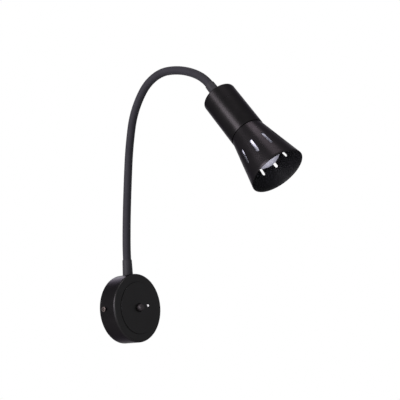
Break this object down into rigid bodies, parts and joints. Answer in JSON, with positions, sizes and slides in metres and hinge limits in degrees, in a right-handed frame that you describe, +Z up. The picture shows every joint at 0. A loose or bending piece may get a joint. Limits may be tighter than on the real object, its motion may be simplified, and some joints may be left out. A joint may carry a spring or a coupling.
{
  "type": "wall reading lamp",
  "caption": "Bedside wall reading lamp: round canopy with push button, bendable sleeved arm and slotted cone shade on a cup.",
  "frame": {"origin": "centre of the canopy's flat back, on the wall", "axes": "+Z up, -Y out of the wall towards the room, the arm bends in the plane X = 0"},
  "size_m": [0.0848, 0.2596, 0.3267],
  "materials": {
    "satin_black": "satin black coat",
    "shade_black": "satin black coat, matt inside",
    "collar_black": "satin black coat",
    "arm_rubber": "matt black sleeve",
    "core_steel": "bare steel",
    "cable_pvc": "white lead sheath",
    "screw_steel": "plain steel",
    "button_black": "smooth black",
    "pilot_white": "milky white lens",
    "moulded_black": "moulded black",
    "terminal_white": "moulded white",
    "contact_brass": "bare brass",
    "zinc_steel": "zinc plated",
    "grommet_rubber": "soft black",
    "wire_brown": "brown insulation",
    "wire_blue": "blue insulation",
    "wire_green": "green and yellow insulation",
    "led_clear": "clear dome",
    "bulb_opal": "frosted opal globe",
    "cap_nickel": "nickel plated"
  },
  "bodies": {
    "base": {"canopy_cover": "satin_black", "front_disc": "satin_black", "wall_bracket": "zinc_steel", "side_screws": "screw_steel", "switch_body": "moulded_black", "switch_screws": "zinc_steel", "switch_lugs": "contact_brass", "pilot_lens": "pilot_white", "pilot_holder": "moulded_black", "pilot_led": "led_clear", "cable_grommet": "grommet_rubber", "terminal_block": "terminal_white", "terminal_screws": "contact_brass", "block_screw": "zinc_steel", "earth_screw": "zinc_steel", "earth_tag": "contact_brass", "live_wire": "wire_brown", "switched_wire": "wire_brown", "neutral_wire": "wire_blue", "earth_wire": "wire_green", "lower_collar": "collar_black", "saddle_washer": "zinc_steel", "arm_nut": "zinc_steel", "arm_sleeve_base": "arm_rubber", "arm_core_base": "core_steel", "arm_cable_base": "cable_pvc"},
    "button": {"push_button": "button_black"},
    "arm_link_1": {"arm_sleeve_1": "arm_rubber", "arm_core_1": "core_steel", "arm_cable_1": "cable_pvc"},
    "arm_link_2": {"arm_sleeve_2": "arm_rubber", "arm_core_2": "core_steel", "arm_cable_2": "cable_pvc"},
    "arm_link_3": {"arm_sleeve_3": "arm_rubber", "arm_core_3": "core_steel", "arm_cable_3": "cable_pvc"},
    "arm_link_4": {"arm_sleeve_4": "arm_rubber", "arm_core_4": "core_steel", "arm_cable_4": "cable_pvc"},
    "arm_link_5": {"arm_sleeve_5": "arm_rubber", "arm_core_5": "core_steel", "arm_cable_5": "cable_pvc"},
    "arm_link_6": {"arm_sleeve_6": "arm_rubber", "arm_core_6": "core_steel", "arm_cable_6": "cable_pvc"},
    "head": {"arm_sleeve_head": "arm_rubber", "arm_core_head": "core_steel", "arm_cable_head": "cable_pvc", "upper_collar": "collar_black", "cup_nut": "zinc_steel", "lamp_cup": "satin_black", "cup_cap": "satin_black", "shade": "shade_black", "lampholder": "moulded_black", "shade_ring": "moulded_black", "holder_shell": "contact_brass", "centre_contact": "contact_brass", "holder_bell": "moulded_black", "bulb_globe": "bulb_opal", "bulb_cap": "cap_nickel"}
  },
  "joints": [
    {"name": "button_press", "type": "slide", "parent": "base", "child": "button", "axis": [0, 1, 0], "range_m": [0, 0.0025], "stiffness_N_per_m": 400, "springref_m": -0.002},
    {"name": "arm_lean_low", "type": "hinge", "parent": "base", "child": "arm_link_1", "pos_m": [0, -0.01035, 0.08304], "axis": [1, 0, 0], "range_deg": [-8, 20]},
    {"name": "arm_side_low", "type": "hinge", "parent": "arm_link_1", "child": "arm_link_2", "pos_m": [0, -0.01457, 0.13015], "axis": [0, -0.994, -0.1094], "range_deg": [-25, 25]},
    {"name": "arm_lean_middle", "type": "hinge", "parent": "arm_link_2", "child": "arm_link_3", "pos_m": [0, -0.02021, 0.17713], "axis": [1, 0, 0], "range_deg": [-15, 20]},
    {"name": "arm_side_middle", "type": "hinge", "parent": "arm_link_3", "child": "arm_link_4", "pos_m": [0, -0.02897, 0.22359], "axis": [0, -0.9704, -0.2414], "range_deg": [-25, 25]},
    {"name": "arm_bend_high", "type": "hinge", "parent": "arm_link_4", "child": "arm_link_5", "pos_m": [0, -0.05097, 0.26494], "axis": [1, 0, 0], "range_deg": [-28, 5]},
    {"name": "arm_side_high", "type": "hinge", "parent": "arm_link_5", "child": "arm_link_6", "pos_m": [0, -0.09376, 0.28004], "axis": [0, 0.1576, -0.9875], "range_deg": [-25, 25]},
    {"name": "head_tilt", "type": "hinge", "parent": "arm_link_6", "child": "head", "pos_m": [0, -0.13728, 0.26252], "axis": [1, 0, 0], "range_deg": [-28, 12]}
  ]
}
